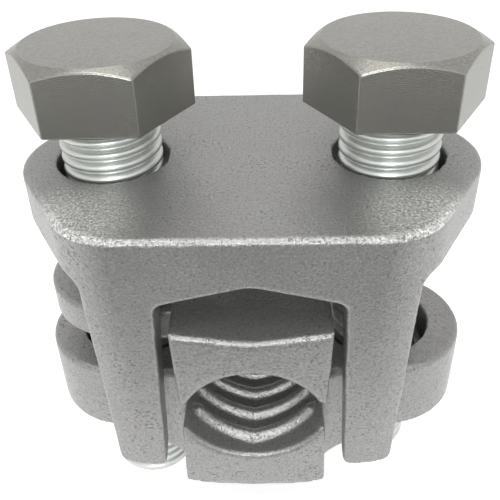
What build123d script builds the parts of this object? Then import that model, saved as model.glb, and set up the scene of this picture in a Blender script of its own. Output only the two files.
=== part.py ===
from build123d import *
import math
import os

# Two-bolt cable connector, in millimetres. A cast yoke carries two hexagon bolts, which draw a
# cast lower clamp up towards it, with a loose spacer between the two conductors.
# X runs from bolt to bolt, Y along the conductors and Z up, with Z = 0 on top of the yoke.

# Bolts
bolt_diameter = 16.0
bolt_spacing = 44.0
head_across_flats = 24.0
head_height = 10.0
head_chamfer_angle = 30.0
head_top_diameter = 22.8
washer_face_height = 0.5
washer_face_diameter = 22.4
head_standoff = 8.2
bolt_end_chamfer = 1.2
left_bolt_length = 78.5
right_bolt_length = 72.5

# Fits: radial play of a bolt in a plain hole and in its thread
hole_play = 0.95
thread_play = 0.05

# Yoke
plate_thickness = 8.5
yoke_depth = 49.6
lobe_radius = 14.4
corner_radius = 12.0
front_straight = 34.8
top_edge_radius = 0.8
leg_length = 45.7
leg_inner_top = 13.7
leg_inner_bottom = 14.8
leg_outer_top = 24.6
leg_outer_bottom = 22.8
leg_root_depth = 6.8
leg_tip_depth = 3.2
leg_root_radius = 3.0
leg_side_radius = 1.8
leg_tip_radius = 1.1
roof_apex_drop = 8.1
roof_side_drop = 11.5
roof_apex_radius = 6.0
roof_corner_radius = 1.7
roof_rim_chamfer = 0.35

# Spacer
spacer_drop = 16.8
spacer_height = 14.2
spacer_depth = 49.4
spacer_top_width = 24.5
spacer_bottom_width = 23.2
spacer_valley = 1.8
spacer_valley_radius = 14.0
spacer_groove_width = 20.9
spacer_groove_height = 6.3
spacer_ear_radius = 13.6
spacer_ear_drop = 4.5
spacer_ear_thickness = 6.2
spacer_ear_chamfer = 0.5
spacer_rim_radius = 0.9

# Lower clamp
clamp_drop = 34.2
clamp_depth = 49.6
ear_radius = 14.0
ear_offset = 1.65
ear_thickness = 13.8
ear_chamfer = 0.55
belly_drop = 6.2
belly_sag = 1.6
belly_half_width = 15.5
belly_slope_width = 10.0
belly_radius = 6.0
lip_drop = 2.5
lip_top_width = 23.0
lip_bottom_width = 23.6
lip_height = 13.1
lip_sag = 1.8
flare_radius = 6.6
flare_inset = 0.25
flare_run_out = 1.0
counterbore_play = 1.9
counterbore_depth = 6.0
groove_radius = 12.3
groove_depth = 9.0
groove_rim_chamfer = 0.4

# Grip ridges in the clamp's groove
ridge_pitch = 4.8
ridge_height = 1.2
ridge_foot_width = 2.5
ridge_shoulder_width = 1.9
ridge_shoulder_height = 0.8
ridge_crest_width = 0.9
ridge_root = 0.8
ridge_span = 19.0
ridge_sweep = 1.8
ridge_first = 4.2
ridge_last_land = 1.4

# What follows from them
bolt_x = bolt_spacing / 2
bolt_radius = bolt_diameter / 2
hole_radius = bolt_radius + hole_play
head_underside = head_standoff + washer_face_height
half_depth = yoke_depth / 2
corner_x = front_straight / 2
corner_y = half_depth - corner_radius
lobe_reach = bolt_x + lobe_radius
rib_half_width = bolt_x - hole_radius
spacer_bottom = spacer_drop + spacer_height
ear_x = bolt_x + ear_offset
groove_axis = clamp_drop + groove_depth - groove_radius
bar_height = ear_thickness + belly_drop + belly_sag
lip_level = clamp_drop + lip_drop
groove_edge = math.sqrt(groove_radius**2 - (lip_level - groove_axis) ** 2)
ridge_run = clamp_depth - ridge_first - ridge_sweep - ridge_foot_width / 2 - ridge_last_land
ridge_count = int(ridge_run / ridge_pitch) + 1

# Working values: how far a cutting tool runs past the body, and what counts as the same place
margin = 5.0
tolerance = 0.01


def front_prism(outline, depth):
    """A sketch drawn in X and Z, made as long as depth along Y, half to each side."""
    return extrude(Plane.XZ * outline, amount=depth / 2, both=True)


def mirrored_polygon(right_half):
    """A closed outline from its right half, listed from the centre line round to it again."""
    left_half = [(-x, z) for x, z in reversed(right_half) if x > 0]
    return make_face(Polyline(*right_half, *left_half, close=True))


def round_corners(outline, places, radius):
    """The outline with its corners at the named places and at their mirror images rounded."""
    wanted = [(side * x, z) for x, z in places for side in (-1, 1)]
    corners = [
        vertex
        for vertex in outline.vertices()
        if any(math.dist((vertex.X, vertex.Y), place) < tolerance for place in wanted)
    ]
    return fillet(corners, radius)


def end_edges(body, lowest):
    """Edges of a body's front and rear faces, without those that reach below the lowest level."""
    faces = body.faces().sort_by(Axis.Y)
    return [
        edge
        for face in (faces[0], faces[-1])
        for edge in face.outer_wire().edges()
        if min(vertex.Z for vertex in edge.vertices()) > lowest - tolerance
    ]


def plate_outline():
    """A round lobe about each bolt and four round corners, joined by tangent lines."""
    lobes = [Pos(side * bolt_x, 0) * Circle(lobe_radius) for side in (-1, 1)]
    corners = [
        Pos(side * corner_x, end * corner_y) * Circle(corner_radius)
        for side in (-1, 1)
        for end in (-1, 1)
    ]
    rounds = [edge for circle in lobes + corners for edge in circle.edges()]
    return make_hull(rounds)


def yoke_front():
    """The yoke seen from the front: a plate on two tapered legs, with a shallow vee for a roof."""
    plate_side = (lobe_reach + margin, -plate_thickness)
    leg_root = (leg_outer_top, -plate_thickness)
    leg_tip_outer = (leg_outer_bottom, -leg_length)
    leg_tip_inner = (leg_inner_bottom, -leg_length)
    roof_corner = (leg_inner_top, -roof_side_drop)
    apex = (0, -roof_apex_drop)
    top_side = (lobe_reach + margin, margin)
    outline = mirrored_polygon(
        [(0, margin), top_side, plate_side, leg_root, leg_tip_outer, leg_tip_inner, roof_corner, apex]
    )
    outline = round_corners(outline, [apex], roof_apex_radius)
    outline = round_corners(outline, [roof_corner], roof_corner_radius)
    outline = round_corners(outline, [leg_tip_outer, leg_tip_inner], leg_tip_radius)
    return round_corners(outline, [leg_root], leg_side_radius)


def leg_window():
    """The space between the front and rear legs beside the conductor, on both sides."""
    root_y = half_depth - leg_root_depth
    tip_y = half_depth - leg_tip_depth
    floor = -leg_length - margin
    floor_y = tip_y + (tip_y - root_y) * margin / (leg_length - plate_thickness)
    outline = make_face(
        Polyline(
            (-root_y, -plate_thickness),
            (root_y, -plate_thickness),
            (floor_y, floor),
            (-floor_y, floor),
            close=True,
        )
    )
    outline = round_corners(outline, [(root_y, -plate_thickness)], leg_root_radius)
    reach = lobe_reach + margin - rib_half_width
    window = extrude(Plane.YZ * outline, amount=reach)
    right = Pos(rib_half_width, 0, 0) * window
    return right + mirror(right, about=Plane.YZ)


def make_yoke():
    """Top casting: lobed plate, vee roof over the run conductor and four tapered legs."""
    body = extrude(plate_outline(), amount=-leg_length)
    body = body & front_prism(yoke_front(), yoke_depth + margin)
    body = body - leg_window()
    top_rim = body.faces().sort_by(Axis.Z)[-1].outer_wire().edges()
    body = fillet(top_rim, top_edge_radius)
    roof_rim = [
        edge for edge in end_edges(body, -leg_length + leg_tip_radius)
        if max(abs(vertex.X) for vertex in edge.vertices()) < leg_inner_bottom
        and max(vertex.Z for vertex in edge.vertices()) < -plate_thickness / 2
    ]
    body = chamfer(roof_rim, roof_rim_chamfer)
    for side in (-1, 1):
        hole = Pos(side * bolt_x, 0, -plate_thickness / 2) * Cylinder(
            hole_radius, plate_thickness + margin
        )
        body = body - hole
    return body


def spacer_front():
    """The spacer seen from the front: shallow valley on top, round groove below."""
    top_side = (spacer_top_width / 2, -spacer_drop)
    bottom_side = (spacer_bottom_width / 2, -spacer_bottom)
    groove_side = (spacer_groove_width / 2, -spacer_bottom)
    valley = (0, -spacer_drop - spacer_valley)
    rim = Polyline(
        (-groove_side[0], groove_side[1]),
        (-bottom_side[0], bottom_side[1]),
        (-top_side[0], top_side[1]),
        valley,
        top_side,
        bottom_side,
        groove_side,
    )
    groove = ThreePointArc(
        groove_side, (0, -spacer_bottom + spacer_groove_height), (-groove_side[0], groove_side[1])
    )
    return round_corners(make_face(rim.edges() + groove.edges()), [valley], spacer_valley_radius)


def make_spacer():
    """Block between the two conductors, with one eared hole that keeps it on the left bolt."""
    block = front_prism(spacer_front(), spacer_depth)
    block = fillet(end_edges(block, -spacer_drop - spacer_valley), spacer_rim_radius)
    inner_end = spacer_groove_width / 2
    neck = Rectangle(bolt_x - inner_end, 2 * spacer_ear_radius)
    ear_outline = Pos(-bolt_x, 0) * Circle(spacer_ear_radius) + Pos(-(bolt_x + inner_end) / 2, 0) * neck
    ear_top = -spacer_drop - spacer_ear_drop
    ear = extrude(Pos(0, 0, ear_top) * ear_outline, amount=-spacer_ear_thickness)
    ear = chamfer(ear.faces().sort_by(Axis.Z)[-1].outer_wire().edges(), spacer_ear_chamfer)
    ear = chamfer(ear.faces().sort_by(Axis.Z)[0].outer_wire().edges(), spacer_ear_chamfer)
    hole = Pos(-bolt_x, 0, ear_top) * Cylinder(hole_radius, 2 * (spacer_ear_thickness + margin))
    return block + ear - hole


def bar_plan():
    """The lower clamp's bar from above: straight sides and a round ear at each end."""
    ears = [Pos(side * ear_x, 0) * Circle(ear_radius) for side in (-1, 1)]
    return make_hull([edge for ear in ears for edge in ear.edges()])


def flare_plan():
    """The bar from above, flaring into the saddle that crosses it."""
    inner = (groove_edge - flare_inset, ear_radius)
    saddle = Rectangle(2 * inner[0], 2 * (ear_radius + flare_radius + flare_run_out))
    return round_corners(bar_plan() + saddle, [inner, (inner[0], -inner[1])], flare_radius)


def clamp_bar_front():
    """Side of the bar: level ears, and a deeper belly that follows the groove above it."""
    top = -clamp_drop
    ear_under = top - ear_thickness
    belly_side = ear_under - belly_drop
    reach = ear_x + ear_radius + margin
    belly_edge = (belly_half_width, belly_side)
    ear_edge = (belly_half_width + belly_slope_width, ear_under)
    rim = Polyline(
        (-belly_edge[0], belly_edge[1]),
        (-ear_edge[0], ear_edge[1]),
        (-reach, ear_under),
        (-reach, top),
        (reach, top),
        (reach, ear_under),
        ear_edge,
        belly_edge,
    )
    belly = ThreePointArc(belly_edge, (0, belly_side - belly_sag), (-belly_edge[0], belly_edge[1]))
    outline = make_face(rim.edges() + belly.edges())
    return round_corners(outline, [ear_edge, belly_edge], belly_radius)


def clamp_lip_front():
    """Section of the saddle where it runs out beyond the bar, with a round underside."""
    lip_under = -lip_level - lip_height
    top_side = (lip_top_width / 2, -lip_level)
    under_side = (lip_bottom_width / 2, lip_under)
    rim = Polyline(
        (-under_side[0], under_side[1]), (-top_side[0], top_side[1]), top_side, under_side
    )
    under = ThreePointArc(under_side, (0, lip_under - lip_sag), (-under_side[0], under_side[1]))
    return make_face(rim.edges() + under.edges())


def ridge_half_section():
    """Right half of a ridge's section: foot, shoulder and crest, with a root inside the wall."""
    return Polyline(
        (0, -ridge_root),
        (ridge_foot_width / 2, -ridge_root),
        (ridge_foot_width / 2, 0),
        (ridge_shoulder_width / 2, ridge_shoulder_height),
        (ridge_crest_width / 2, ridge_height),
        (0, ridge_height),
        close=True,
    )


def ridge_arm():
    """Right arm of a ridge: its section bent round the groove's wall, from the middle plane out."""
    half_span = ridge_span / 2
    reach = math.hypot(half_span, ridge_sweep)
    rise = groove_radius - math.sqrt(groove_radius**2 - half_span**2)
    bend_radius = (reach**2 + rise**2) / (2 * rise)
    climb = math.asin(reach / bend_radius)
    outward = Vector(half_span, ridge_sweep, 0).normalized()
    upward = Vector(0, 0, 1)
    floor = -upward * (groove_axis + groove_radius)
    axis = Axis(floor + upward * bend_radius, outward.cross(upward))
    half = make_face(ridge_half_section())
    upright = Plane(origin=floor, x_dir=upward.cross(outward), z_dir=outward)
    section = upright * (half + mirror(half, about=Plane.YZ))
    lead = math.degrees(ridge_foot_width / bend_radius)
    bar = revolve(section.rotate(axis, -lead), axis=axis, revolution_arc=math.degrees(climb) + lead)
    size = 2 * (ridge_span + margin)
    bar = bar & Pos(size / 2, 0, floor.Z) * Box(size, size, size)
    tip = floor + outward * reach + upward * rise
    heading = outward * math.cos(climb) + upward * math.sin(climb)
    crest = upward * math.cos(climb) - outward * math.sin(climb)
    round_end = revolve(Plane.XZ * half, axis=Axis.Z, revolution_arc=180)
    return bar + Plane(origin=tip, x_dir=heading.cross(crest), z_dir=crest) * round_end


def grip_ridge():
    """One ridge across the groove, bent to a vee with its point towards the front."""
    arm = ridge_arm()
    return arm + mirror(arm, about=Plane.YZ)


def make_lower_clamp():
    """Bottom casting: tapped ears on a bellied bar, with a ridged groove across the middle."""
    side_view = front_prism(clamp_bar_front(), clamp_depth)
    bar = extrude(bar_plan(), amount=-clamp_drop - bar_height - margin) & side_view
    bar = chamfer(bar.faces().sort_by(Axis.Z)[-1].outer_wire().edges(), ear_chamfer)
    flares = Pos(0, 0, -clamp_drop - ear_chamfer) * extrude(flare_plan(), amount=-bar_height)
    body = bar + (flares & side_view) + front_prism(clamp_lip_front(), clamp_depth)
    groove = Pos(0, 0, -groove_axis) * Rot(90, 0, 0) * Cylinder(groove_radius, clamp_depth + margin)
    body = body - groove
    groove_rim = [
        edge for edge in end_edges(body, -lip_level - groove_radius)
        if edge.geom_type == GeomType.CIRCLE and abs(edge.radius - groove_radius) < tolerance
    ]
    body = chamfer(groove_rim, groove_rim_chamfer)
    ridge = grip_ridge()
    for place in range(ridge_count):
        point_y = -clamp_depth / 2 + ridge_first + place * ridge_pitch
        body = body + Pos(0, point_y, 0) * ridge
    for side in (-1, 1):
        ear = Pos(side * bolt_x, 0, -clamp_drop)
        body = body - ear * Cylinder(bolt_radius + thread_play, 2 * (bar_height + margin))
        body = body - ear * Cylinder(bolt_radius + counterbore_play, 2 * counterbore_depth)
    return body


def bolt_head():
    """Hexagon head with its top corners turned off and a round bearing face underneath."""
    hexagon = RegularPolygon(head_across_flats / 2, 6, major_radius=False)
    head = extrude(Pos(0, 0, head_underside) * hexagon, amount=head_height)
    top = head_underside + head_height
    rim_radius = head_across_flats
    turned_drop = (rim_radius - head_top_diameter / 2) * math.tan(math.radians(head_chamfer_angle))
    turned = make_face(
        Polyline(
            (0, head_underside - margin),
            (rim_radius, head_underside - margin),
            (rim_radius, top - turned_drop),
            (head_top_diameter / 2, top),
            (0, top),
            close=True,
        )
    )
    head = head & revolve(Plane.XZ * turned, axis=Axis.Z)
    face = Pos(0, 0, head_standoff + washer_face_height / 2) * Cylinder(
        washer_face_diameter / 2, washer_face_height
    )
    return head + face


def make_bolt(side, length):
    """Hexagon bolt in its place on one side, standing off the yoke by its head."""
    shank = Pos(0, 0, head_standoff - length / 2) * Cylinder(bolt_radius, length)
    shank = chamfer(shank.edges().sort_by(Axis.Z)[0], bolt_end_chamfer)
    return Pos(side * bolt_x, 0, 0) * (bolt_head() + shank)


if __name__ == "__main__":
    os.makedirs("parts", exist_ok=True)
    export_step(make_yoke(), "parts/yoke.step")
    export_step(make_spacer(), "parts/spacer.step")
    export_step(make_lower_clamp(), "parts/lower_clamp.step")
    export_step(make_bolt(-1, left_bolt_length), "parts/bolt_left.step")
    export_step(make_bolt(1, right_bolt_length), "parts/bolt_right.step")
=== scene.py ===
# %% [markdown]
# # A two-bolt cable connector
# Three sand-cast aluminium pieces and two zinc-plated hexagon bolts clamp a tap conductor to a
# run conductor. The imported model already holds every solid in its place, in metres, with the
# origin on top of the yoke midway between the bolts. This lesson dresses it for a studio picture.
# The load comes first, because each piece below takes its place and size from it.

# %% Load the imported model
import math

import bmesh
import bpy
from mathutils import Matrix, Vector


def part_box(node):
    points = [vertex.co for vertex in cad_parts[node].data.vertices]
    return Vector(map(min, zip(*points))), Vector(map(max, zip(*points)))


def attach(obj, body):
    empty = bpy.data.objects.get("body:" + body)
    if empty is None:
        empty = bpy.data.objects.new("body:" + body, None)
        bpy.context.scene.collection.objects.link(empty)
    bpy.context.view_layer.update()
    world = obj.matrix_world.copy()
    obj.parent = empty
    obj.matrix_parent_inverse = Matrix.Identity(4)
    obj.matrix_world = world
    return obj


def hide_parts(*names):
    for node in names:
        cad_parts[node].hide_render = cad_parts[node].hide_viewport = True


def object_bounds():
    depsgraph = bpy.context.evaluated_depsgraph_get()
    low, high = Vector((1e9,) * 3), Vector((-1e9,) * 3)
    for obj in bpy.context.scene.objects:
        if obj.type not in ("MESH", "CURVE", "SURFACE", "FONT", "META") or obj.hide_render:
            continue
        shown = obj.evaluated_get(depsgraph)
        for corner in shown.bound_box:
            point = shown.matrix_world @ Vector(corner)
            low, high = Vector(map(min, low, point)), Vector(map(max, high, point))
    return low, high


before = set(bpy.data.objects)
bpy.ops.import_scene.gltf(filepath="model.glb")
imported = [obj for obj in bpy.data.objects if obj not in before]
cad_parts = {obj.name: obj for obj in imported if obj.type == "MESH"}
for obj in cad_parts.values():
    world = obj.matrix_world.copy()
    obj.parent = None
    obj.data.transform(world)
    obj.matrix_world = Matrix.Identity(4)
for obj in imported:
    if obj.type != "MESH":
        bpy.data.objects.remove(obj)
cad_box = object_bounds()
MM = 0.001
print("nodes:", sorted(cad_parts))
print("size in mm:", [round((high - low) / MM, 1) for low, high in zip(*cad_box)])

# %% [markdown]
# ## Camera
# The picture was taken from in front and well above, from so near that the bolt heads look
# larger than the plate. The lens and the three angles were worked out from the twelve corners of
# the two heads, so the camera is set by numbers and not by eye. A camera at rest looks down -Z:
# tilting it by 90 degrees less the pitch makes it look forward, and the turn and roll follow.

# %% Place the camera
camera_data = bpy.data.cameras.new("camera")
camera_data.sensor_width = 36.0
camera_data.lens = 50.36
camera_data.clip_start, camera_data.clip_end = 5 * MM, 5000 * MM
camera = bpy.data.objects.new("camera", camera_data)
bpy.context.scene.collection.objects.link(camera)
camera_place = Matrix.Translation(Vector((2.888, -100.640, 51.492)) * MM)
camera_turn = Matrix.Rotation(math.radians(1.949), 4, "Z")
camera_tilt = Matrix.Rotation(math.radians(90 - 34.922), 4, "X")
camera_roll = Matrix.Rotation(math.radians(-1.779), 4, "Z")
camera.matrix_world = camera_place @ camera_turn @ camera_tilt @ camera_roll
bpy.context.scene.camera = camera
print("camera distance in mm:", round(camera_place.translation.length / MM, 1))

# %% [markdown]
# ## Light and floor
# Metal shows what stands round it, so the lamps are placed by what each face mirrors to the
# camera. Rounded rims and the clamp's ridges look up and forward, and a high and a low lamp
# hang there. A lamp straight above lights the turned cones of the heads, and two weak lamps at
# the sides fill the legs. The flat top mirrors the white room behind, and the upright faces
# mirror the table in front, which a grey card makes a step darker.

# %% Hang the lamps
scene = bpy.context.scene
scene.view_settings.view_transform = "Standard"


def area_lamp(name, place, size, power, colour):
    """A square lamp, place and size in millimetres, turned to the middle of the connector."""
    data = bpy.data.lights.new(name, "AREA")
    data.size = size * MM
    data.energy = power
    data.color = colour
    lamp = bpy.data.objects.new(name, data)
    scene.collection.objects.link(lamp)
    middle = Vector((0, 0, -20)) * MM
    lamp.location = Vector(place) * MM
    lamp.rotation_euler = (middle - lamp.location).to_track_quat("-Z", "Y").to_euler()
    return lamp


COOL, WARM = (0.95, 0.975, 1.0), (1.0, 0.98, 0.95)
lamps = [
    area_lamp("top_lamp", (-30, 20, 380), 200, 0.2, WARM),
    area_lamp("high_lamp", (-20, -160, 310), 165, 0.46, COOL),
    area_lamp("low_lamp", (-10, -370, 125), 105, 0.58, COOL),
    area_lamp("left_lamp", (-250, -300, 60), 160, 0.06, COOL),
    area_lamp("right_lamp", (250, -300, 60), 160, 0.06, COOL),
]
print("lamps:", [lamp.name for lamp in lamps])

# %% [markdown]
# The background of a catalogue picture is pure white. A world or floor bright enough for that
# would wash the metal out, so only what the camera and the reflections see of them is white,
# through the Light Path node, and the light that falls on the object stays low.

# %% Paint the world and the floor
white_room = bpy.data.worlds.new("white_room")
white_room.use_nodes = True
scene.world = white_room


def seen_directly(nodes, links):
    """A socket that is 1 for camera, glossy and transmission rays, and 0 for the others."""
    path = nodes.new("ShaderNodeLightPath")
    total = path.outputs["Is Camera Ray"]
    for name in ("Is Glossy Ray", "Is Transmission Ray"):
        larger = nodes.new("ShaderNodeMath")
        larger.operation = "MAXIMUM"
        links.new(total, larger.inputs[0])
        links.new(path.outputs[name], larger.inputs[1])
        total = larger.outputs[0]
    return total


world_nodes, world_links = white_room.node_tree.nodes, white_room.node_tree.links
background = world_nodes["Background"]
background.inputs["Color"].default_value = (1, 1, 1, 1)
level = world_nodes.new("ShaderNodeMapRange")
level.inputs["To Min"].default_value = 0.6
level.inputs["To Max"].default_value = 1.0
world_links.new(seen_directly(world_nodes, world_links), level.inputs["Value"])
world_links.new(level.outputs["Result"], background.inputs["Strength"])

FLOOR_SIDE, FLOOR_GAP = 4000 * MM, 0.2 * MM
bpy.ops.mesh.primitive_plane_add(size=FLOOR_SIDE, location=(0, 0, cad_box[0].z - FLOOR_GAP))
floor = bpy.context.object
floor.name = "floor"
floor_paint = bpy.data.materials.new("floor_paint")
floor_paint.use_nodes = True
floor_shader = floor_paint.node_tree.nodes["Principled BSDF"]
floor_shader.inputs["Base Color"].default_value = (0.86, 0.86, 0.86, 1)
floor_shader.inputs["Roughness"].default_value = 0.9
floor_shader.inputs["Specular IOR Level"].default_value = 0.0
floor_shader.inputs["Emission Color"].default_value = (1, 1, 1, 1)
floor_shader.inputs["Emission Strength"].default_value = 0.49
floor.data.materials.append(floor_paint)
print("floor level in mm:", round(floor.location.z / MM, 1))

# %% [markdown]
# Photographers lay a grey card in front of shiny metal, so that its upright faces darken and its
# edges stand out. This one lies on the floor below the camera. Only reflections show it, so it
# takes no light from the object and is in no view.

# %% Lay the grey card
CARD_WIDTH, CARD_DEPTH, CARD_FORWARD, CARD_LIFT = 360 * MM, 290 * MM, 215 * MM, 0.5 * MM
bpy.ops.mesh.primitive_plane_add(size=1.0, location=(0, -CARD_FORWARD, floor.location.z + CARD_LIFT))
card = bpy.context.object
card.name = "grey_card"
card.scale = (CARD_WIDTH, CARD_DEPTH, 1.0)
card.visible_camera = card.visible_diffuse = card.visible_shadow = False
card_paint = bpy.data.materials.new("card_paint")
card_paint.use_nodes = True
card_shader = card_paint.node_tree.nodes["Principled BSDF"]
card_shader.inputs["Base Color"].default_value = (0, 0, 0, 1)
card_shader.inputs["Specular IOR Level"].default_value = 0.0
card_shader.inputs["Emission Color"].default_value = (0.97, 1.0, 0.93, 1)
card_shader.inputs["Emission Strength"].default_value = 0.1
card.data.materials.append(card_paint)
print("card in mm:", [round(side / MM) for side in card.dimensions[:2]])

# %% [markdown]
# ## Node helpers
# A shader or a shape made of nodes is a small program. Two helpers keep it readable: one adds a
# node and fills its sockets, from a plain value or from another node's output, and one opens a
# group with named inputs and outputs.

# %% Write the helpers


def add_node(tree, kind, settings=None, inputs=None):
    """A node of that kind, with attributes from settings and sockets from inputs."""
    node = tree.nodes.new(kind)
    for name, value in (settings or {}).items():
        setattr(node, name, value)
    for name, value in (inputs or {}).items():
        socket = node.inputs[name]
        if isinstance(value, bpy.types.NodeSocket):
            tree.links.new(value, socket)
        else:
            socket.default_value = value
    return node


def math_node(tree, operation, *values, clamp=False):
    """The output socket of one arithmetic step."""
    settings = {"operation": operation, "use_clamp": clamp}
    return add_node(tree, "ShaderNodeMath", settings, dict(enumerate(values))).outputs[0]


def open_group(name, kind, inputs, outputs):
    """A node group with named sockets: (tree, its input node's sockets, its output node)."""
    tree = bpy.data.node_groups.new(name, kind)
    for socket_name, socket_type, value in inputs:
        socket = tree.interface.new_socket(socket_name, in_out="INPUT", socket_type=socket_type)
        if value is not None:
            socket.default_value = value
    for socket_name, socket_type in outputs:
        tree.interface.new_socket(socket_name, in_out="OUTPUT", socket_type=socket_type)
    entry = tree.nodes.new("NodeGroupInput")
    leave = tree.nodes.new("NodeGroupOutput")
    return tree, entry.outputs, leave


FLOAT = "NodeSocketFloat"
print("helpers ready")

# %% [markdown]
# ## Grain of a sand casting
# Molten aluminium copies the sand that it is poured into: grains a few tenths of a millimetre
# wide, dark flecks where gas or a loose grain was, and wide faint clouds where the metal cooled
# unevenly. Each is one noise at its own size, and the clouds also gather the flecks in places.
# The group puts out a brightness, a roughness and a height, so each material sets its values.

# %% Build the cast grain group
CLOUDS_PER_METRE, FLECK_FADE = 110.0, 0.04
cast_grain, grain_in, grain_out = open_group(
    "cast_grain",
    "ShaderNodeTree",
    [("Grain size", FLOAT, 0.4 * MM), ("Fleck size", FLOAT, 0.5 * MM), ("Fleck share", FLOAT, 0.385)],
    [("Brightness", FLOAT), ("Roughness", FLOAT), ("Height", FLOAT)],
)
place = add_node(cast_grain, "ShaderNodeTexCoord").outputs["Object"]


def grain_noise(scale, detail, roughness):
    """One noise of the cast grain, on the piece's own coordinates."""
    inputs = {"Vector": place, "Scale": scale, "Detail": detail, "Roughness": roughness}
    return add_node(cast_grain, "ShaderNodeTexNoise", None, inputs).outputs["Fac"]


def spread(value, low, high, new_low, new_high, kind="LINEAR"):
    """The value's stretch from low to high, mapped to a new one."""
    inputs = {"Value": value, "From Min": low, "From Max": high, "To Min": new_low, "To Max": new_high}
    mapped = add_node(cast_grain, "ShaderNodeMapRange", {"interpolation_type": kind}, inputs)
    return mapped.outputs["Result"]


sand = grain_noise(math_node(cast_grain, "DIVIDE", 1.0, grain_in["Grain size"]), 3.0, 0.65)
flecks = grain_noise(math_node(cast_grain, "DIVIDE", 1.0, grain_in["Fleck size"]), 2.0, 0.7)
clouds = grain_noise(CLOUDS_PER_METRE, 4.0, 0.6)
fleck_top = math_node(cast_grain, "ADD", grain_in["Fleck share"], spread(clouds, 0.3, 0.7, -0.06, 0.06))
fleck_bottom = math_node(cast_grain, "SUBTRACT", fleck_top, FLECK_FADE)
clear = spread(flecks, fleck_bottom, fleck_top, 0.0, 1.0, "SMOOTHSTEP")
print("noises in the grain: sand, flecks and clouds")

# %% [markdown]
# The three outputs mix those noises. Brightness dips in the flecks, roughness is a little higher
# there, and height carries the grains with the flecks sunk into them. The height does most of
# the work: tilted grains sparkle where a lamp's reflection passes, and only there.

# %% Mix the grain's outputs
FLECK_BRIGHTNESS, FLECK_DEPTH = 0.6, 0.35
FLECK_ROUGHNESS, GRAIN_ROUGHNESS = 0.45, 0.28
sand_shade, cloud_shade = spread(sand, 0.3, 0.7, 0.75, 1.2), spread(clouds, 0.3, 0.7, 0.94, 1.06)
shade = math_node(cast_grain, "MULTIPLY", sand_shade, cloud_shade)
shade = math_node(cast_grain, "MULTIPLY", shade, spread(clear, 0.0, 1.0, FLECK_BRIGHTNESS, 1.0))
fleck_pits = math_node(cast_grain, "MULTIPLY", clear, FLECK_DEPTH)
height = math_node(cast_grain, "ADD", sand, fleck_pits)
rough = spread(clear, 0.0, 1.0, FLECK_ROUGHNESS, GRAIN_ROUGHNESS)
cast_grain.links.new(shade, grain_out.inputs["Brightness"])
cast_grain.links.new(rough, grain_out.inputs["Roughness"])
cast_grain.links.new(height, grain_out.inputs["Height"])
print("cast grain nodes:", len(cast_grain.nodes))

# %% [markdown]
# The plate's two front corners are painted brighter than the rest: a painted highlight, standing
# in for the sheen of reflected light that falls there. The sheen is a mask: an oval patch in front
# of each bolt, on the plate's top only, that is 1 in its middle and fades to its edge. It could be
# painted as an image, but two distances make it with no picture file.

# %% Build the corner rub group
# Painted highlight: this mask marks where the corners' sheen is painted into the colour.
SHEEN_DEPTH = 0.9 * MM
painted_corner_sheen, sheen_in, sheen_out = open_group(
    "painted_corner_sheen",
    "ShaderNodeTree",
    [("Across", FLOAT, 24 * MM), ("Forward", FLOAT, 19 * MM), ("Half width", FLOAT, 11 * MM),
     ("Half depth", FLOAT, 13 * MM)],
    [("Mask", FLOAT)],
)
plate_place = add_node(
    painted_corner_sheen, "ShaderNodeSeparateXYZ", None,
    {"Vector": add_node(painted_corner_sheen, "ShaderNodeTexCoord").outputs["Object"]},
).outputs


def sheen_step(operation, *values):
    """One arithmetic step of the painted corner sheen."""
    return math_node(painted_corner_sheen, operation, *values)


sideways = sheen_step("SUBTRACT", sheen_step("ABSOLUTE", plate_place["X"]), sheen_in["Across"])
forward = sheen_step("ADD", plate_place["Y"], sheen_in["Forward"])
wide = sheen_step("DIVIDE", sideways, sheen_in["Half width"])
deep = sheen_step("DIVIDE", forward, sheen_in["Half depth"])
squares = sheen_step("ADD", sheen_step("MULTIPLY", wide, wide), sheen_step("MULTIPLY", deep, deep))
off_middle = sheen_step("SQRT", squares)
patch = add_node(
    painted_corner_sheen, "ShaderNodeMapRange", {"interpolation_type": "SMOOTHSTEP"},
    {"Value": off_middle, "From Min": 0.2, "From Max": 1.0, "To Min": 1.0, "To Max": 0.0},
).outputs["Result"]
on_top = sheen_step("GREATER_THAN", plate_place["Z"], -SHEEN_DEPTH)
painted_corner_sheen.links.new(sheen_step("MULTIPLY", patch, on_top), sheen_out.inputs["Mask"])
print("corner rub nodes:", len(painted_corner_sheen.nodes))

# %% [markdown]
# ## Cast aluminium
# The material puts the grain on a metallic shader. The colour is a warm grey, multiplied by the
# group's brightness, and the bump is about a tenth of a millimetre deep. A raw casting is duller
# than polished metal, so the shader is not wholly metallic. In the plate's two front corners a
# painted highlight is added to the colour: a faint sheen, and small painted glints on the highest
# grains, by a high power of their height.

# %% Build the castings' material
GLINT_GAIN, GLINT_SHARPNESS, PAINTED_GLINT_LIFT, SHEEN_LIFT = 1.18, 6.0, 0.8, 0.1


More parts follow.
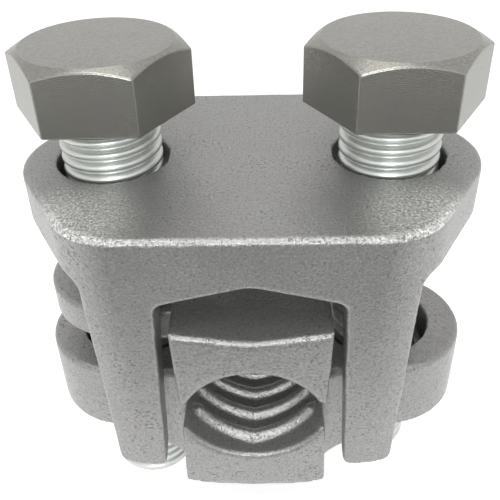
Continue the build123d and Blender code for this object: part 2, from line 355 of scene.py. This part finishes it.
def cast_aluminium(name, colour, grain_depth):
    """Metallic material with the sand grain in its colour, roughness and bump."""
    material = bpy.data.materials.new(name)
    material.use_nodes = True
    tree = material.node_tree
    shader = tree.nodes["Principled BSDF"]
    grain = add_node(tree, "ShaderNodeGroup", {"node_tree": cast_grain})
    tint = add_node(
        tree, "ShaderNodeMix", {"data_type": "RGBA", "blend_type": "MULTIPLY"},
        {"Factor": 1.0, "A": (*colour, 1.0)},
    )
    # Painted highlight: the corner sheen and its glints are added to the base colour.
    sheen_mask = add_node(tree, "ShaderNodeGroup", {"node_tree": painted_corner_sheen}).outputs["Mask"]
    gained = math_node(tree, "MULTIPLY", grain.outputs["Height"], GLINT_GAIN)
    painted_glints = math_node(tree, "POWER", gained, GLINT_SHARPNESS)
    sheen_strength = math_node(tree, "ADD", math_node(tree, "MULTIPLY", painted_glints, PAINTED_GLINT_LIFT), SHEEN_LIFT)
    painted_sheen = math_node(tree, "MULTIPLY", sheen_mask, sheen_strength)
    tree.links.new(math_node(tree, "ADD", grain.outputs["Brightness"], painted_sheen), tint.inputs["B"])
    bump = add_node(
        tree, "ShaderNodeBump", None,
        {"Strength": 1.0, "Distance": grain_depth, "Height": grain.outputs["Height"]},
    )
    shader.inputs["Metallic"].default_value = 0.65
    tree.links.new(tint.outputs["Result"], shader.inputs["Base Color"])
    tree.links.new(grain.outputs["Roughness"], shader.inputs["Roughness"])
    tree.links.new(bump.outputs["Normal"], shader.inputs["Normal"])
    return material


aluminium = cast_aluminium("cast_aluminium", (0.295, 0.291, 0.282), 0.11 * MM)
print("material:", aluminium.name)

# %% [markdown]
# ## Skin of the castings
# A casting has no sharp edge anywhere, and its walls wave a little. The solids have their main
# roundings already. A fine voxel remesh gives each casting an even skin of small squares, a
# light smoothing takes the last edges off, and a Geometry Nodes tree then pushes the points in
# and out by noise: a slow wave for the mould's unevenness and a quick one for the sand. A bevel
# was the other choice, but it tangles where many small faces meet, as they do on the ridges.
# The clamp's curved belly lies almost flat in the remesh's grid, which leaves steps along its
# edge, so the tree averages the points' places below a given level before it pushes them.

# %% Build the sand skin tree
NOWHERE = -1000 * MM
sand_skin, skin_in, skin_out = open_group(
    "sand_skin",
    "GeometryNodeTree",
    [
        ("Casting", "NodeSocketGeometry", None), ("Finish", "NodeSocketMaterial", None),
        ("Wave depth", FLOAT, 0.1 * MM), ("Wave size", FLOAT, 9 * MM),
        ("Sand depth", FLOAT, 0.03 * MM), ("Sand size", FLOAT, 1.1 * MM),
        ("Even below", FLOAT, NOWHERE), ("Even passes", "NodeSocketInt", 12),
    ],
    [("Casting", "NodeSocketGeometry")],
)


def centred_noise(size_socket, depth_socket, detail):
    """Noise of about that size, from minus to plus that depth."""
    scale = math_node(sand_skin, "DIVIDE", 1.0, size_socket)
    noise = add_node(sand_skin, "ShaderNodeTexNoise", None, {"Scale": scale, "Detail": detail})
    centred = math_node(sand_skin, "SUBTRACT", noise.outputs["Fac"], 0.5)
    return math_node(sand_skin, "MULTIPLY", math_node(sand_skin, "MULTIPLY", centred, 2.0), depth_socket)


push = math_node(
    sand_skin, "ADD",
    centred_noise(skin_in["Wave size"], skin_in["Wave depth"], 1.0),
    centred_noise(skin_in["Sand size"], skin_in["Sand depth"], 2.0),
)
outward = add_node(sand_skin, "GeometryNodeInputNormal").outputs["Normal"]
offset = add_node(sand_skin, "ShaderNodeVectorMath", {"operation": "SCALE"}, {0: outward, "Scale": push})
skin_place = add_node(sand_skin, "GeometryNodeInputPosition").outputs["Position"]
skin_level = add_node(sand_skin, "ShaderNodeSeparateXYZ", None, {0: skin_place}).outputs["Z"]
below = math_node(sand_skin, "LESS_THAN", skin_level, skin_in["Even below"])
evened = add_node(
    sand_skin, "GeometryNodeBlurAttribute", {"data_type": "FLOAT_VECTOR"},
    {"Value": skin_place, "Iterations": skin_in["Even passes"], "Weight": below},
)
moved = add_node(
    sand_skin, "GeometryNodeSetPosition", None,
    {
        "Geometry": skin_in["Casting"],
        "Position": evened.outputs["Value"],
        "Offset": offset.outputs["Vector"],
    },
)
whole = add_node(sand_skin, "GeometryNodeRealizeInstances", None, {"Geometry": moved.outputs["Geometry"]})
finished = add_node(
    sand_skin, "GeometryNodeSetMaterial", None,
    {"Geometry": whole.outputs["Geometry"], "Material": skin_in["Finish"]},
)
sand_skin.links.new(finished.outputs["Geometry"], skin_out.inputs["Casting"])
print("sand skin nodes:", len(sand_skin.nodes))

# %% [markdown]
# Each casting starts from a copy of its solid's mesh with the loose triangles merged. Modifiers
# remesh, smooth and push it, the evaluated result becomes a plain mesh, and that piece stands for
# the solid. The tree's inputs are set by their sockets' identifiers, before anything evaluates.
# The yoke's squares are a little larger than the others', because it is the largest piece, and
# the clamp is smoothed more often, for its ridges.

# %% Dress the castings


def set_input(modifier, name, value):
    """Gives a Geometry Nodes modifier's named input its value."""
    for item in modifier.node_group.interface.items_tree:
        if item.item_type == "SOCKET" and item.in_out == "INPUT" and item.name == name:
            modifier[item.identifier] = value


def settle(piece):
    """Turns a piece with modifiers into a plain mesh."""
    depsgraph = bpy.context.evaluated_depsgraph_get()
    plain = bpy.data.meshes.new_from_object(piece.evaluated_get(depsgraph))
    plain.name = piece.name
    piece.modifiers.clear()
    piece.data = plain
    return piece


def cast_piece(node_name, grain_step, smoothing, even_below=NOWHERE):
    """A softened, sandy skin over one casting's solid, evened out more below a level."""
    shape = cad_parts[node_name].data.copy()
    welder = bmesh.new()
    welder.from_mesh(shape)
    bmesh.ops.remove_doubles(welder, verts=welder.verts, dist=0.001 * MM)
    welder.to_mesh(shape)
    welder.free()
    shape.materials.clear()
    shape.materials.append(aluminium)
    piece = bpy.data.objects.new(node_name + "_casting", shape)
    scene.collection.objects.link(piece)
    remesh = piece.modifiers.new("even_skin", "REMESH")
    remesh.mode, remesh.voxel_size, remesh.use_smooth_shade = "VOXEL", grain_step, True
    soften = piece.modifiers.new("soften", "SMOOTH")
    soften.factor, soften.iterations = 0.5, smoothing
    skin = piece.modifiers.new("sand_skin", "NODES")
    skin.node_group = sand_skin
    set_input(skin, "Finish", aluminium)
    set_input(skin, "Even below", even_below)
    settle(piece)
    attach(piece, node_name)
    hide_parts(node_name)
    print(piece.name, "faces:", len(piece.data.polygons))
    return piece


castings = [
    cast_piece("yoke", 0.42 * MM, 3),
    cast_piece("spacer", 0.36 * MM, 3),
    cast_piece("lower_clamp", 0.36 * MM, 5, even_below=-50 * MM),
]
print("castings dressed:", len(castings))

# %% [markdown]
# ## Zinc plating
# The bolts are steel with a thin bright zinc coat that has dulled to satin. It is smooth, with a
# faint mottle from the bath and fine brushed streaks from handling. The same idea as for the
# castings, but shallow and quiet: one noise is squeezed along the bolt's axis for the streaks,
# and a wide one lays the clouds.

# %% Build the zinc mottle group
BRUSH_SHARE = 0.85
zinc_mottle, mottle_in, mottle_out = open_group(
    "zinc_mottle",
    "ShaderNodeTree",
    [("Grain size", FLOAT, 0.4 * MM), ("Stretch", FLOAT, 2.6), ("Cloud size", FLOAT, 9 * MM)],
    [("Mix", FLOAT), ("Height", FLOAT)],
)
zinc_place = add_node(zinc_mottle, "ShaderNodeTexCoord").outputs["Object"]
squeeze = add_node(
    zinc_mottle, "ShaderNodeCombineXYZ", None, {"X": 1.0, "Y": 1.0, "Z": mottle_in["Stretch"]}
)
brushed_place = add_node(
    zinc_mottle, "ShaderNodeVectorMath", {"operation": "MULTIPLY"},
    {0: zinc_place, 1: squeeze.outputs["Vector"]},
).outputs["Vector"]
brush_scale = math_node(zinc_mottle, "DIVIDE", 1.0, mottle_in["Grain size"])
brushing = add_node(
    zinc_mottle, "ShaderNodeTexNoise", None,
    {"Vector": brushed_place, "Scale": brush_scale, "Detail": 3.0, "Roughness": 0.6},
).outputs["Fac"]
cloud_scale = math_node(zinc_mottle, "DIVIDE", 1.0, mottle_in["Cloud size"])
clouding = add_node(
    zinc_mottle, "ShaderNodeTexNoise", None, {"Vector": zinc_place, "Scale": cloud_scale, "Detail": 2.0}
).outputs["Fac"]
brush_part = math_node(zinc_mottle, "MULTIPLY", brushing, BRUSH_SHARE)
cloud_part = math_node(zinc_mottle, "MULTIPLY", clouding, 1 - BRUSH_SHARE)
zinc_mottle.links.new(math_node(zinc_mottle, "ADD", brush_part, cloud_part), mottle_out.inputs["Mix"])
zinc_mottle.links.new(brushing, mottle_out.inputs["Height"])
print("zinc mottle nodes:", len(zinc_mottle.nodes))

# %% [markdown]
# The group serves two materials. The heads show the brushing, and the rolled thread has hardly any
# relief. Both are the same zinc: the thread's much lighter colour is painted light, for the
# brightness its crests catch from the lamps. Two colours and a relief depth tell them apart, so
# one function makes both.

# %% Build the zinc materials


def zinc_plating(name, dark, light, roughness, relief):
    """Metallic material whose colour runs between two tones by the mottle."""
    material = bpy.data.materials.new(name)
    material.use_nodes = True
    tree = material.node_tree
    shader = tree.nodes["Principled BSDF"]
    mottle = add_node(tree, "ShaderNodeGroup", {"node_tree": zinc_mottle})
    share = add_node(
        tree, "ShaderNodeMapRange", None,
        {"Value": mottle.outputs["Mix"], "From Min": 0.3, "From Max": 0.7},
    )
    colour = add_node(
        tree, "ShaderNodeMix", {"data_type": "RGBA"},
        {"Factor": share.outputs["Result"], "A": (*dark, 1.0), "B": (*light, 1.0)},
    )
    bump = add_node(
        tree, "ShaderNodeBump", None,
        {"Strength": 1.0, "Distance": relief, "Height": mottle.outputs["Height"]},
    )
    shader.inputs["Metallic"].default_value = 0.78
    shader.inputs["Roughness"].default_value = roughness
    tree.links.new(colour.outputs["Result"], shader.inputs["Base Color"])
    tree.links.new(bump.outputs["Normal"], shader.inputs["Normal"])
    return material


zinc = zinc_plating("zinc_plating", (0.195, 0.192, 0.174), (0.31, 0.303, 0.277), 0.27, 0.03 * MM)
# Painted light: the thread's zinc is painted lighter than the head's, as if lit more.
painted_lit_zinc = zinc_plating("painted_lit_zinc", (0.56, 0.58, 0.55), (0.66, 0.68, 0.65), 0.36, 0.01 * MM)
print("materials:", zinc.name, painted_lit_zinc.name)

# %% [markdown]
# ## Threaded shank
# The bolts are threaded up to the head, with a right-hand thread of 2 mm pitch. A thread follows
# a rule: the radius at any point depends only on how far along and how far round it is. So a flat
# grid is rolled up by nodes: across the grid is the angle, along it is the way down the shank.
# Past each end the radius shrinks to nothing, which closes the ends with flat discs.

# %% Build the thread tree
PITCH, ROWS_PER_PITCH = 2 * MM, 18
thread_tree, thread_in, thread_out = open_group(
    "threaded_shank",
    "GeometryNodeTree",
    [
        ("Radius", FLOAT, 8 * MM), ("Pitch", FLOAT, PITCH), ("Depth", FLOAT, 1.0 * MM),
        ("Length", FLOAT, 70 * MM), ("End taper", FLOAT, 1.4 * MM),
        ("Rows", "NodeSocketInt", 500), ("Columns", "NodeSocketInt", 73),
        ("Finish", "NodeSocketMaterial", None),
    ],
    [("Shank", "NodeSocketGeometry")],
)


def step(operation, *values, clamp=False):
    """One arithmetic step of the thread tree."""
    return math_node(thread_tree, operation, *values, clamp=clamp)


sheet = add_node(
    thread_tree, "GeometryNodeMeshGrid", None,
    {"Size X": 1.0, "Size Y": 1.0, "Vertices X": thread_in["Columns"], "Vertices Y": thread_in["Rows"]},
)
flat = add_node(
    thread_tree, "ShaderNodeSeparateXYZ", None,
    {0: add_node(thread_tree, "GeometryNodeInputPosition").outputs["Position"]},
).outputs
turn = step("ADD", flat["X"], 0.5)
angle = step("MULTIPLY", turn, 2 * math.pi)
radius, length = thread_in["Radius"], thread_in["Length"]
with_ends = step("ADD", length, step("MULTIPLY", radius, 2.0))
walked = step("SUBTRACT", step("MULTIPLY", step("ADD", flat["Y"], 0.5), with_ends), radius)
down = step("MINIMUM", step("MAXIMUM", walked, 0.0), length)
beyond = step("MAXIMUM", step("MULTIPLY", walked, -1.0), step("SUBTRACT", walked, length))
past_end = step("MAXIMUM", beyond, 0.0)
shrink = step("SUBTRACT", 1.0, step("DIVIDE", past_end, radius), clamp=True)

# %% [markdown]
# The profile is a wave with a broad round crest, as a thick zinc coat leaves it, and a narrow
# root. Its phase counts the pitches down the shank plus the part of a turn round it, which is
# what makes the crest climb like a right-hand screw. The end taper is a limit on the radius
# that closes in over the last stretch.

# %% Shape the thread and roll it up
CREST_ROUNDNESS, ROOT_SHARE = 2.4, 0.04
phase = step("FRACT", step("ADD", step("DIVIDE", down, thread_in["Pitch"]), turn))
ramp = step("ABSOLUTE", step("SUBTRACT", step("MULTIPLY", phase, 2.0), 1.0))
profile = add_node(
    thread_tree, "ShaderNodeMapRange", None,
    {"Value": ramp, "From Min": ROOT_SHARE, "From Max": 1.0, "To Min": 0.0, "To Max": 1.0},
).outputs["Result"]
profile = step("SUBTRACT", 1.0, step("POWER", step("SUBTRACT", 1.0, profile), CREST_ROUNDNESS))
ridge = step("SUBTRACT", radius, step("MULTIPLY", thread_in["Depth"], step("SUBTRACT", 1.0, profile)))
taper = step("MAXIMUM", step("SUBTRACT", thread_in["End taper"], step("SUBTRACT", length, down)), 0.0)
reach = step("MULTIPLY", step("MINIMUM", ridge, step("SUBTRACT", radius, taper)), shrink)
rolled = add_node(
    thread_tree, "ShaderNodeCombineXYZ", None,
    {
        "X": step("MULTIPLY", reach, step("COSINE", angle)),
        "Y": step("MULTIPLY", reach, step("SINE", angle)),
        "Z": step("MULTIPLY", down, -1.0),
    },
)
shank_moved = add_node(
    thread_tree, "GeometryNodeSetPosition", None,
    {"Geometry": sheet.outputs["Mesh"], "Position": rolled.outputs["Vector"]},
)
shank_joined = add_node(
    thread_tree, "GeometryNodeMergeByDistance", None,
    {"Geometry": shank_moved.outputs["Geometry"], "Distance": 0.002 * MM},
)
shank_whole = add_node(
    thread_tree, "GeometryNodeRealizeInstances", None, {"Geometry": shank_joined.outputs["Geometry"]}
)
shank_finish = add_node(
    thread_tree, "GeometryNodeSetMaterial", None,
    {"Geometry": shank_whole.outputs["Geometry"], "Material": thread_in["Finish"]},
)
thread_tree.links.new(shank_finish.outputs["Geometry"], thread_out.inputs["Shank"])
print("thread nodes:", len(thread_tree.nodes))

# %% [markdown]
# ## Bolt heads
# A forged hexagon head is turned on top to a shallow cone, which leaves a curved edge over each
# flat, and has a round bearing face underneath. Rings of points make it: each ring has a height
# and a distance from the axis that may follow the hexagon. Neighbouring rings lie about a tenth
# of a millimetre apart where an edge is to look softly rounded, and a ring in the middle of each
# flat end keeps its shading flat. The rings of the turned edges are listed as crisp.

# %% Shape the head
ACROSS_FLATS, HEAD_HEIGHT = 24.0, 10.0
TOP_RADIUS, FACE_RADIUS, FACE_HEIGHT = 11.4, 11.2, 0.5
EDGE_ROUND, CORNER_CUT, CONE_ANGLE = 0.14, 0.07, math.radians(30)
TOP_SUPPORT, FACE_SUPPORT = 5.0, 3.0
SIDE_DEGREES = (-1, -0.5, 0.5, 1, *range(5, 58, 5))


def hexagon_reach(around):
    """Distance from the axis to the hexagon's side, with its six corners just rounded."""
    off_corner = (around + math.pi / 6) % (math.pi / 3) - math.pi / 6
    to_side = ACROSS_FLATS / 2 / math.cos(math.pi / 6 - abs(off_corner))
    corner = ACROSS_FLATS / 2 / math.cos(math.pi / 6)
    return min(to_side, corner - CORNER_CUT)


def cone_level(reach, top):
    """Height of the turned cone at that distance from the axis."""
    return top - max(reach - TOP_RADIUS, 0.0) * math.tan(CONE_ANGLE)


def head_rings(underside):
    """The head from its bearing face up to its flat top: each ring as a list of points."""
    low, top = underside + FACE_HEIGHT, underside + FACE_HEIGHT + HEAD_HEIGHT
    outlines = []
    for degrees in (60 * corner + degree for corner in range(6) for degree in SIDE_DEGREES):
        around = math.radians(degrees)
        side = hexagon_reach(around)
        inside, further = side - EDGE_ROUND, side - 2 * EDGE_ROUND
        rim = cone_level(side, top)
        outline = [
            (FACE_RADIUS - FACE_SUPPORT, underside), (FACE_RADIUS, underside), (FACE_RADIUS, low),
            (further, low), (inside, low), (side, low + EDGE_ROUND), (side, low + 2 * EDGE_ROUND),
            (side, rim - 2 * EDGE_ROUND), (side, rim - EDGE_ROUND), (inside, cone_level(inside, top)),
            (further, cone_level(further, top)), (TOP_RADIUS, top), (TOP_RADIUS - TOP_SUPPORT, top),
        ]
        across, along = math.cos(around), math.sin(around)
        outlines.append([Vector((reach * across, reach * along, z)) * MM for reach, z in outline])
    return [list(ring) for ring in zip(*outlines)]


CRISP_RINGS = (1, 2, 11)
print("head rings:", len(head_rings(0)), "of", len(head_rings(0)[0]), "points, crisp:", CRISP_RINGS)

# %% [markdown]
# A bolt is the head's rings skinned with faces and joined to a threaded shank. The shank's
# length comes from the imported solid's own box, so each bolt ends where its solid does.

# %% Dress the bolts
BOLT_OFFSET = 22 * MM


def skin_rings(name, rings, crisp):
    """A closed mesh over a stack of rings, with a fan at each end and some rings left crisp."""
    build = bmesh.new()
    rows = [[build.verts.new(point) for point in ring] for ring in rings]
    count = len(rows[0])
    for lower, upper in zip(rows, rows[1:]):
        for i in range(count):
            j = (i + 1) % count
            build.faces.new((lower[i], lower[j], upper[j], upper[i]))
    for row, turned in ((rows[0], True), (rows[-1], False)):
        hub = build.verts.new(sum((v.co for v in row), Vector()) / count)
        for i in range(count):
            pair = (row[i], row[(i + 1) % count])
            build.faces.new((hub, *(reversed(pair) if turned else pair)))
    for face in build.faces:
        face.smooth = True
    for row in (rows[i] for i in crisp):
        for i in range(count):
            build.edges.get((row[i], row[(i + 1) % count])).smooth = False
    mesh = bpy.data.meshes.new(name)
    build.to_mesh(mesh)
    build.free()
    mesh.materials.append(zinc)
    return mesh


def threaded_shank(name, length):
    """The shank's mesh, hanging down from the origin."""
    blank = bpy.data.meshes.new(name)
    blank.materials.append(painted_lit_zinc)
    piece = bpy.data.objects.new(name, blank)
    scene.collection.objects.link(piece)
    thread = piece.modifiers.new("thread", "NODES")
    thread.node_group = thread_tree
    set_input(thread, "Length", length)
    set_input(thread, "Rows", int(ROWS_PER_PITCH * length / PITCH))
    set_input(thread, "Finish", painted_lit_zinc)
    return settle(piece)


def dress_bolt(node_name, side):
    """A bolt with a turned head and a real thread, standing for its plain solid."""
    low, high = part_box(node_name)
    underside = high.z / MM - HEAD_HEIGHT - FACE_HEIGHT
    shank = threaded_shank(node_name + "_shank", underside * MM - low.z)
    for polygon in shank.data.polygons:
        polygon.use_smooth = True
    shank.data.transform(Matrix.Translation((0, 0, underside * MM)))
    head = skin_rings(node_name + "_head", head_rings(underside), CRISP_RINGS)
    build = bmesh.new()
    build.from_mesh(shank.data)
    thread_faces, head_slot = len(build.faces), len(shank.data.materials)
    build.from_mesh(head)
    for face in list(build.faces)[thread_faces:]:
        face.material_index = head_slot
    bmesh.ops.recalc_face_normals(build, faces=build.faces)
    shank.data.materials.append(zinc)
    build.to_mesh(shank.data)
    build.free()
    shank.data.transform(Matrix.Translation((side * BOLT_OFFSET, 0, 0)))
    shank.name = node_name + "_dressed"
    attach(shank, node_name)
    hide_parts(node_name)
    print(shank.name, "faces:", len(shank.data.polygons))
    return shank


bolts = [dress_bolt("bolt_left", -1), dress_bolt("bolt_right", 1)]
print("bolts dressed:", len(bolts))
